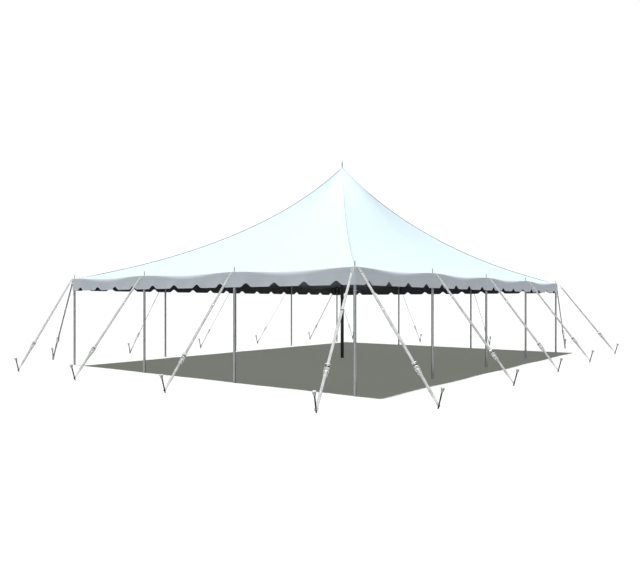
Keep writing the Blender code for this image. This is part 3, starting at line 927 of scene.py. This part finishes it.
def centre_pole_shape():
    shape, r = Shape(), CENTRE_RADIUS
    top = PATCH_HEIGHT - 0.006
    tube = [(0.044, 0.0), (0.0495, 0.0), (r, 0.001), (r, 0.7), (r, 1.6), (r, 2.8), (r, 4.2)]
    turned(shape, tube + [(r, top - 0.002), (0.049, top), (0.03, top)], Matrix(), 0, 48)
    sleeve = [(0.0502, 2.72), (0.0535, 2.723), (0.054, 2.726), (0.054, 2.994), (0.0535, 2.997), (0.0502, 3.0)]
    turned(shape, sleeve, Matrix(), 0, 48)
    bolt = [(0.008, -0.001), (0.008, 0.005), (0.006, 0.0065), (0.002, 0.007)]
    fasteners(shape, 0.0535, (2.78, 2.94), 20, 2, bolt, 6)
    pin = [(0.03, top - 0.001), (0.03, top + 0.0008), (0.0215, top + 0.001), (0.0205, top + 0.004)]
    pin += [(0.0205, CENTRE_TIP - 0.012), (0.0190, CENTRE_TIP - 0.004), (0.013, CENTRE_TIP - 0.0005)]
    turned(shape, pin + [(0.004, CENTRE_TIP)], Matrix(), 1, 32)
    return shape.mesh("centre_pole", 40)


def pole_places():
    """Node name and place of every side pole."""
    found = [(f"corner_pole_{name}", (x * HALF_X, y * HALF_Y)) for name, (x, y) in zip(CORNER_NAMES, CORNERS)]
    for side, (_, count) in SIDES.items():
        found += [(f"{side}_pole_{i}", pole_spot(side, i)) for i in range(1, count - 1)]
    return found


def set_down(data, place, degrees):
    """Turns a mesh about the upright through the origin and sets it down at a place."""
    data.transform(Matrix.Translation((*place, 0)) @ Matrix.Rotation(math.radians(degrees), 4, "Z"))


side_pole = side_pole_shape()
for node, place in pole_places():
    data = side_pole.copy()
    # Rivets face another way on each pole
    set_down(data, place, 37 * len(node))
    show(f"{node}_tube", data, [aluminium_tube, zinc_plate], "side_tube", [node])
show("centre_pole_tube", centre_pole_shape(), [centre_pole_shade_black, zinc_plate], "centre_tube", ["centre_pole"])
print(len(pole_places()), "side poles of", len(side_pole.polygons), "faces")

# %% [markdown]
# ## Guy straps
# A guy starts as a tab with an eye over the pole's pin. Two narrow legs leave it, bend over the hem and
# spread to a steel link. A doubled sling runs on to a second, dark link, and a single strap from there
# winds onto the ratchet's spool, where its spare tail comes out and lies down the front. A short doubled
# strap joins the ratchet to a D-ring round the stake. Each path is drawn flat, as distance down the strap
# and distance out from it. At the end each guy is rolled about its own line, as straps never hang square.

# %% The line of a guy
# A stake leans away by this angle, stands this far out, and wears its ring this high up its length
LEAN, STAKE_OUT, RING_UP = math.radians(15), 1.8, 0.05
STAKE_RING = Vector((STAKE_OUT + RING_UP * math.sin(LEAN), 0, RING_UP * math.cos(LEAN)))
STRAP, TAB, LEG, CLOTH = 0.05, 0.044, 0.019, 0.0024
# How far out from the pole the straight run starts, and how much higher where one strap crosses another
GUY_TOP_X, CROSSING = 0.078, 0.0043
RATCHET_SHARE = 0.765
Guy = namedtuple("Guy", "top along face length splice ratchet")


def guy_line(level, splice_share=0.31):
    """The straight run of a guy. Level 1 lies over level 0 where two share a corner pin."""
    top = Vector((GUY_TOP_X, 0, EAVE + 0.0023 + level * CROSSING))
    run = STAKE_RING - top
    along, length = run.normalized(), run.length
    return Guy(top, along, along.cross(SIDEWAYS), length, length * splice_share, length * RATCHET_SHARE)


def on(guy, distance, off=0.0, aside=0.0):
    """A point by its distance down the guy, out from the strap's face, and to the side."""
    return guy.top + guy.along * distance + guy.face * off + SIDEWAYS * aside


def arc_points(middle, radius, start, end, steps=10):
    """Points of a flat arc, in degrees, as (distance, off) pairs."""
    angles = [math.radians(start + (end - start) * i / steps) for i in range(steps + 1)]
    return [(middle[0] + radius * math.cos(a), middle[1] + radius * math.sin(a)) for a in angles]


def eased(a, b, steps=8):
    """Points from one (distance, off) pair to another, off easing in and out."""
    shares = [i / steps for i in range(1, steps)]
    return [(a[0] + (b[0] - a[0]) * s, a[1] + (b[1] - a[1]) * s * s * (3 - 2 * s)) for s in shares]


def straight(a, b, steps=8):
    """Evenly spaced points of a straight run, so that it can be rolled smoothly later."""
    return [(a[0] + (b[0] - a[0]) * i / steps, a[1] + (b[1] - a[1]) * i / steps) for i in range(steps + 1)]


def belt(start, end, radii, pinch=0.0016, ease=0.06):
    """A closed loop of webbing round two bars, drawn together between them."""
    far, near = end - ease, start + ease
    path = arc_points((start, 0), radii[0], 90, 270)
    path += eased((start, -radii[0]), (near, -pinch)) + straight((near, -pinch), (far, -pinch))
    path += eased((far, -pinch), (end, -radii[1])) + arc_points((end, 0), radii[1], 270, 450)
    path += eased((end, radii[1]), (far, pinch)) + straight((far, pinch), (near, pinch))
    return path + eased((near, pinch), (start, radii[0]))


print("a guy is", round(guy_line(0).length, 3), "m from the hem to its ring")

# %% [markdown]
# ### Paths of the webbing
# The spool holds two arms of one spiral, the strap coming in from below and the tail going out above,
# because the webbing passes through a slot in the spool and winds up on both sides of it.

# %% Webbing of a guy
# A link's wire, half its length, and how far down the guy the first one is
LINK, LINK_HALF, EYE_LINK = 0.0028, 0.015, 0.150
# The D-ring's wire, its bar and the middle of its bow, from the guy's end
DEE_WIRE, DEE_BAR, DEE_BOW = 0.0042, -0.030, -0.0082
# A strap that is bent round bar clears it by 0.3 mm
CLEAR = 0.0003
BAR_TURN = LINK + CLOTH / 2 + CLEAR
# Bolt and grip of the ratchet, from its spool, and the outer radius of the webbing on the spool
BOLT_AT, HANDLE_AT = 0.070, -0.135
SPOOL, SPOOL_PITCH, SPOOL_STEPS, STEPS_A_TURN = 0.0205, 0.0058, 25, 20
HEM_BEND, LEG_ASIDE, LEG_SPREAD = 0.03, 0.0118, 0.0030


def spiral(middle, side):
    """One arm of webbing on the spool, from outside inward. Side is -1 under it and 1 over it."""
    found = []
    for i in range(SPOOL_STEPS + 1):
        angle = math.radians(90 * side + 360 / STEPS_A_TURN * i)
        reach = SPOOL - SPOOL_PITCH * i / STEPS_A_TURN
        found.append((middle + reach * math.cos(angle), reach * math.sin(angle)))
    return found


def guy_webbing(guy, shape):
    """All the straps of one guy."""
    ratchet, splice = guy.ratchet, guy.splice

    def lay(path, width, loop=False):
        band(shape, [on(guy, down, off) for down, off in path], SIDEWAYS, width, CLOTH, loop=loop)

    # Tab: flat over the hem, with the eye for the pin
    tab = [Vector((x, 0, guy.top.z)) for x in (-0.036, -0.02, 0.0, 0.02, 0.042)]
    band(shape, tab, SIDEWAYS, TAB, CLOTH)
    # Two legs: over the hem, down to the first link, round its upper bar and back
    first_bar = EYE_LINK - LINK_HALF
    bend = math.acos(guy.along.x)
    reach = HEM_BEND * math.tan(bend / 2)
    turn = Vector((guy.top.x - reach, 0, guy.top.z - HEM_BEND))
    over = [Vector((x, 0, guy.top.z)) for x in (0.040, 0.052)]
    bends = [bend * i / 8 for i in range(9)]
    over += [turn + Vector((math.sin(a), 0, math.cos(a))) * HEM_BEND for a in bends]
    lap = eased((reach, 0.0), (first_bar, -BAR_TURN)) + arc_points((first_bar, 0), BAR_TURN, -90, 90)
    lap += eased((first_bar, BAR_TURN), (0.06, 0.0032)) + [(0.06, 0.0032)]
    for hand in (-1, 1):
        path = [point + SIDEWAYS * (hand * LEG_ASIDE) for point in over]
        path += [on(guy, a, c, hand * (LEG_ASIDE + LEG_SPREAD * min(a / first_bar, 1))) for a, c in lap]
        band(shape, path, SIDEWAYS, LEG, CLOTH - 0.0002)
    # Sling between the two links
    lay(belt(EYE_LINK + LINK_HALF, splice - LINK_HALF, (BAR_TURN, BAR_TURN)), STRAP - 0.002, loop=True)
    # Main strap: a sewn eye on the splice link, then down to the spool
    bar = splice + LINK_HALF
    path = [(bar + 0.135, 0.0018), (bar + 0.09, 0.0018)] + eased((bar + 0.09, 0.0018), (bar, BAR_TURN))
    path += arc_points((bar, 0), BAR_TURN, 90, 270) + eased((bar, -BAR_TURN), (bar + 0.06, -0.0008))
    path += [(bar + 0.06, -0.0008), (bar + 0.3, 0.0), (ratchet - 0.25, 0.0)]
    path += eased((ratchet - 0.25, 0.0), (ratchet - 0.001, -SPOOL), 12) + spiral(ratchet, -1)
    lay(path, STRAP)
    # Tail: over the frame, then lying down the lower strap
    path = [(ratchet + 0.27, 0.0068), (ratchet + 0.24, 0.0062)]
    lay(path + eased((ratchet + 0.22, 0.0068), (ratchet + 0.001, SPOOL), 14) + spiral(ratchet, 1), STRAP)
    # Lower strap from the ratchet's bolt to the D-ring round the stake
    radii = (0.0068, DEE_WIRE + CLOTH / 2 + CLEAR)
    lay(belt(ratchet + BOLT_AT, guy.length + DEE_BAR, radii), STRAP - 0.001, loop=True)


def guy_sewing(guy):
    """Sewing of every eye, a box with a cross in it, on the side of the strap that faces out."""
    splice, low = guy.splice, guy.length + DEE_BAR
    wide, lines = 0.036, []
    boxes = [(0.235, 0.295, wide, 0.0031), (splice - 0.145, splice - 0.085, wide, 0.0031)]
    boxes += [(splice + 0.072, splice + 0.142, 0.038, 0.0034), (low - 0.13, low - 0.07, wide, 0.0031)]
    for start, end, width, off in boxes:
        half = width / 2
        corners = ((start, -half), (end, -half), (end, half), (start, half))
        a, b, c, d = (on(guy, down, off, aside) for down, aside in corners)
        lines += [[a, b, c, d, a], [a, c], [b, d]]
    return grown("guy_sewing", line_mesh(lines), stitches, {"Thread": white_thread})


print("splice link at", round(guy_line(0).splice, 3), "m down the guy")

# %% [markdown]
# ## Ratchet wheels by Geometry Nodes
# The two toothed wheels of a ratchet are stamped steel with thirteen teeth. A tree makes one: a disc,
# with a small block on each point of a circle. Its inputs are the sizes that a maker would ask for.


# %% Toothed wheel
def wheel_tree():
    sizes = {"Teeth": 13, "Radius": 0.0195, "Tooth": 0.005, "Thickness": 0.0026}
    tree, given = open_tree("toothed_wheel", {"Geometry": "Geometry", **sizes, "Steel": "Material"})
    radius, tooth, thin = (given[name] for name in ("Radius", "Tooth", "Thickness"))
    disc = add(tree, "GeometryNodeMeshCylinder", {"Vertices": 26, "Radius": radius, "Depth": thin})
    circle = add(tree, "GeometryNodeMeshCircle", {"Vertices": given["Teeth"], "Radius": radius})
    block = add(tree, "GeometryNodeMeshCube", {0: add(tree, "CombineXYZ", {0: tooth, 1: tooth, 2: thin})})
    place = add(tree, "GeometryNodeInputPosition")
    turn = add(tree, "FunctionNodeAlignRotationToVector", {"Vector": place}, axis="X")
    slanted = add(tree, "FunctionNodeRotateRotation", {0: turn, 1: (0, 0, 0.45)}, rotation_space="LOCAL")
    each = {"Points": circle, "Instance": block, "Rotation": slanted}
    whole = add(tree, "GeometryNodeJoinGeometry", {0: disc})
    tree.links.new(add(tree, "GeometryNodeInstanceOnPoints", each), whole.node.inputs[0])
    return close_tree(tree, whole, given["Steel"])


seed_point = bpy.data.meshes.new("wheel_seed")
seed_point.from_pydata([(0, 0, 0)], [], [])
wheel = grown("ratchet_wheel", seed_point, wheel_tree(), {"Steel": zinc_plate})
print("ratchet wheel:", len(wheel.polygons), "faces")

# %% [markdown]
# ## Ratchet, links and ring
# The frame is two stamped side plates joined by a bolt and a cross plate. The handle's plates straddle
# it and end in a grip bar. A spring pawl slides between them into the wheels' teeth. The links are bent
# bar, welded shut, and the ring round the stake is thicker bar.

# %% Hardware of a guy
RING_HALF, RING_CORNER = 0.0285, 0.008
# How far to the side each layer of the ratchet lies, from the frame's plate out to the handle's
FRAME_PLATE, WHEEL, HANDLE_PLATE = (0.0325, 0.0355), 0.0371, (0.0388, 0.0412)


def racetrack(a, radius_a, b, radius_b):
    """Outline of a plate with two round ends, anticlockwise, from end a to end b."""
    heading = math.degrees(math.atan2(b[1] - a[1], b[0] - a[0]))
    found = arc_points(a, radius_a, heading + 90, heading + 270, 9)
    return found + arc_points(b, radius_b, heading - 90, heading + 90, 9)


def link_path(guy, middle):
    """Centre line of a rectangular link with rounded corners, lying in the strap."""
    found = []
    for a, b, start in ((1, 1, 0), (-1, 1, 90), (-1, -1, 180), (1, -1, 270)):
        spot = (middle + a * (LINK_HALF - RING_CORNER), b * (RING_HALF - RING_CORNER))
        found += arc_points(spot, RING_CORNER, start, start + 90, 5)
    return [on(guy, down, 0.0, aside) for down, aside in found]


def dee_path(guy):
    """Centre line of the D-ring: a bow round the back of the stake, and a bar for the strap."""
    bar, bow = guy.length + DEE_BAR, guy.length + DEE_BOW
    found = arc_points((bow, 0), RING_HALF, -90, 90, 14)
    for sign, start in ((1, 90), (-1, 180)):
        spot = (bar + RING_CORNER, sign * (RING_HALF - RING_CORNER))
        found += arc_points(spot, RING_CORNER, start, start + 90, 5)
    return [on(guy, down, 0.0, aside) for down, aside in found]


def guy_hardware(guy, shape):
    """Grommet, links, ring and ratchet of one guy. Finish 0 is bright and 1 is dark."""
    # Grommet in the eye strap, a rolled rim on the pin
    tab = guy.top.z + CLOTH / 2
    rim = [(0.0100, tab - 0.0002), (0.0150, tab - 0.0002), (0.0155, tab + 0.0006), (0.0140, tab + 0.0014)]
    turned(shape, rim + [(0.0118, tab + 0.0016), (0.0100, tab + 0.0009)], Matrix(), 0, 20)
    wire(shape, link_path(guy, EYE_LINK), guy.face, LINK, 0)
    wire(shape, link_path(guy, guy.splice), guy.face, LINK, 1)
    wire(shape, dee_path(guy), guy.face, DEE_WIRE, 1)
    # The seat's X runs down the strap, its Y stands off it, and its Z runs sideways
    seat = Matrix((guy.along, guy.face, -SIDEWAYS)).transposed().to_4x4()
    seat.translation = on(guy, guy.ratchet)
    spool, bolt, grip = (0, 0), (BOLT_AT + 0.002, 0.0), (HANDLE_AT, 0.020)
    heads = ((spool, 0.0095, HANDLE_PLATE), (bolt, 0.0075, FRAME_PLATE), (grip, 0.0075, HANDLE_PLATE))
    for side in (-1, 1):
        inner, outer = sorted(side * z for z in FRAME_PLATE)
        plate(shape, racetrack(spool, 0.0245, bolt, 0.0135), inner, outer, seat)
        inner, outer = sorted(side * z for z in HANDLE_PLATE)
        plate(shape, racetrack(grip, 0.0115, spool, 0.0205), inner, outer, seat)
        shape.take(wheel, 0, seat @ Matrix.Translation((0, 0, side * WHEEL)))
        flip = Matrix.Rotation(0 if side > 0 else math.pi, 4, "X")
        for middle, r, outside in heads:
            head = [(r, 0.0), (r, 0.0028), (r * 0.8, 0.0040), (r * 0.3, 0.0046)]
            turned(shape, head, seat @ Matrix.Translation((*middle, side * outside[1])) @ flip, 0, 12)
    bars = ((spool, 0.0108, 0.0330, 1), (bolt, 0.0052, 0.0330, 0), (grip, 0.0088, 0.0385, 0))
    for middle, r, half, tag in bars:
        turned(shape, [(r, -half), (r, half)], seat @ Matrix.Translation((*middle, 0)), tag, 16)
    # Cross plate of the frame, sliding pawl, its finger tab, and the pawl's spring block
    cross = [(0.030, -0.0125), (0.052, -0.0125), (0.052, -0.0100), (0.030, -0.0100)]
    pawl = [(-0.0265, 0.0212), (-0.0705, 0.0262), (-0.070, 0.0290), (-0.026, 0.0240)]
    finger = [(-0.0545, 0.0272), (-0.0595, 0.0430), (-0.062, 0.0420), (-0.058, 0.0275)]
    spring = [(-0.084, 0.0262), (-0.0995, 0.0275), (-0.100, 0.0205), (-0.085, 0.0190)]
    plates = ((cross, 0.0328, 0), (pawl, 0.0387, 0), (finger, 0.016, 0), (spring, 0.0387, 1))
    for outline, half, tag in plates:
        plate(shape, outline, -half, half, seat, tag)


print("the ratchet is", round(BOLT_AT - HANDLE_AT + 0.025, 3), "m long")

# %% [markdown]
# ## Stakes and caps
# A stake is one-inch bar driven in at a slant, away from the tent, so that the pull can't draw it out.
# Its head wears a flared plastic cap. The bar ends on the ground here, because the ground isn't made.


# %% Stake
def stake_shape():
    bar, whole = Shape(), Shape()
    lean = Matrix.Translation((STAKE_OUT, 0, 0)) @ Matrix.Rotation(LEAN, 4, "Y")
    r = 0.0127
    turned(bar, [(r, -0.05), (r, 0.05), (0.0125, 0.12), (r, 0.2), (r, 0.335), (0.0110, 0.337)], lean, 0, 20)
    bar = bar.mesh("stake_bar", 40)
    with opened(bar) as cut:
        parts = cut.verts[:] + cut.edges[:] + cut.faces[:]
        bmesh.ops.bisect_plane(cut, geom=parts, plane_co=(0, 0, 0.0004), plane_no=UP, clear_inner=True)
        bmesh.ops.holes_fill(cut, edges=cut.edges[:])
    whole.take(bar, 0)
    cap = [(0.0130, 0.290), (0.0205, 0.2855), (0.0218, 0.287), (0.0240, 0.300), (0.0300, 0.333)]
    cap += [(0.0345, 0.348), (0.0357, 0.353), (0.0352, 0.3575), (0.0325, 0.3597), (0.018, 0.3600)]
    cap += [(0.0165, 0.3585), (0.004, 0.3583)]
    turned(whole, cap, lean, 1, 28)
    return whole.mesh("stake", 40)


stake = stake_shape()
print("stake:", len(stake.polygons), "faces")

# %% [markdown]
# ## Eighteen guys
# Every side pole has a guy straight out from the hem, and a corner pole has two. Nobody paces these out,
# so each corner guy turns a little, each strap hangs at its own roll, and each splice sits where it does.

# %% Where the guys stand
# From the first guy of a side on: degrees that it turns beyond its own side at a corner, or back where
# negative, share of its length down to its dark link, and degrees of roll
GUYS = {
    "front": ((9, 0.33, -45), (0, 0.22, -55), (0, 0.27, -60), (0, 0.38, -62), (12, 0.30, -65)),
    "back": ((-12, 0.36, 20), (0, 0.26, 30), (0, 0.34, 28), (0, 0.24, 25), (12, 0.40, 10)),
    "left": ((15, 0.34, 20), (0, 0.30, 45), (0, 0.28, 50), (-15, 0.47, 45)),
    "right": ((-6, 0.42, -35), (0, 0.25, -48), (0, 0.33, -42), (12, 0.29, -45)),
}


def guy_heading(side, i, splay):
    """Degrees from the X axis to the way that a guy leads."""
    sign, count = SIDES[side]
    turn = -splay if i == 0 else splay
    return sign * (90 - turn) if count == 5 else 90 - 90 * sign + sign * turn


print("guys:", {side: len(guys) for side, guys in GUYS.items()})

# %% Eighteen guys
TWIST_FROM, TWIST_OVER = 0.05, 0.20
GUY_PIECES = (
    ("guy_webbing", [white_webbing, white_thread], "webbing", "guy_strap"),
    ("guy_hardware", [zinc_plate, dark_bar], "stake_steel", "guy_strap"),
    ("stake_bar", [dark_bar, pale_cap], "stake_steel", "stake"),
)


def roll_guy(data, guy, degrees):
    """Rolls the free run about its own line. The twist comes in below the eye and ends above the ring."""
    spots = np.empty(3 * len(data.vertices))
    data.vertices.foreach_get("co", spots)
    top, axis = np.array(guy.top), np.array(guy.along)
    away = spots.reshape(-1, 3) - top
    down = away @ axis
    enter = np.clip((down - TWIST_FROM) / TWIST_OVER, 0, 1)
    leave = np.clip((guy.length - TWIST_FROM - down) / TWIST_OVER, 0, 1)
    angle = math.radians(degrees) * (enter**2 * (3 - 2 * enter) * leave**2 * (3 - 2 * leave))[:, None]
    square = away - down[:, None] * axis
    rolled = square * np.cos(angle) + np.cross(square, axis) * np.sin(angle)
    data.vertices.foreach_set("co", (rolled + down[:, None] * axis + top).ravel())
    data.update()


for side, i in [(side, i) for side, guys in GUYS.items() for i in range(len(guys))]:
    splay, splice, roll = GUYS[side][i]
    # At a corner the strap of a short side lies over that of a long one
    guy = guy_line(int(splay != 0 and side in ("left", "right")), splice)
    straps, iron = Shape(), Shape()
    guy_webbing(guy, straps)
    straps.take(guy_sewing(guy), 1)
    guy_hardware(guy, iron)
    meshes = (straps.mesh("guy_webbing", 50), iron.mesh("guy_hardware"), stake.copy())
    for data in meshes[:2]:
        roll_guy(data, guy, roll)
    for data, (name, finishes, slot, node) in zip(meshes, GUY_PIECES):
        set_down(data, pole_spot(side, i), guy_heading(side, i, splay))
        piece = show(f"{name}_{side}_{i + 1}", data, finishes, slot, [f"{node}_{side}_{i + 1}"])
        # Shadows as thin as these can't be made out on pale ground
        piece.visible_shadow = False
print("each guy:", [len(data.polygons) for data in meshes], "faces of webbing, hardware and stake")

# %% [markdown]
# ## Ties on the corner poles
# Each corner pole wears a thin band of webbing, tied below the skirt with its spare end sticking out.
# In use it holds a side wall. It is flat webbing, so it is drawn directly, like the guys.

# %% Corner ties
TIE_HEIGHT, TIE_RADIUS = 1.902, 0.0299
TIE_AIMS = (-53, -20, 37, 127)


def corner_tie():
    shape, z = Shape(), TIE_HEIGHT
    path = [Vector((*spot, z)) for spot in circle_points(TIE_RADIUS, 32)]
    band(shape, path, UP, 0.016, 0.002, loop=True)
    # A flat knot, and two ends that leave it
    knot = [Vector((0.031 + 0.006 * math.sin(math.pi * i / 8), -0.012 + 0.003 * i, z)) for i in range(9)]
    band(shape, knot, UP, 0.019, 0.0032)
    tail = [Vector((0.036 + 0.012 * i, 0.002 * i, z + 0.004 - 0.0013 * i * i)) for i in range(7)]
    short = [Vector((0.036 + 0.008 * i, -0.006 - 0.003 * i, z + 0.004 * i)) for i in range(5)]
    for path in (tail, short):
        band(shape, path, SIDEWAYS, 0.012, 0.0018)
    return shape.mesh("corner_tie", 50)


tie = corner_tie()
for (x, y), name, aim in zip(CORNERS, CORNER_NAMES, TIE_AIMS):
    data = tie.copy()
    set_down(data, (x * HALF_X, y * HALF_Y), aim)
    show(f"corner_tie_{name}", data, [white_webbing], "webbing")
print("each tie:", len(tie.polygons), "faces")

# %% [markdown]
# ## The cloth's area
# The canopy is one sheet, stretched over its poles. Its flat area comes from the same rule as its shape: the
# area of the sheet itself, since a coated cloth is welded from panels cut to fit and hardly stretches.

# %% Sheet
area = sum(face.area for face in canopy_data.polygons)
["centre_pole_tube"] + [f"{node}_tube" for node, _ in pole_places()]
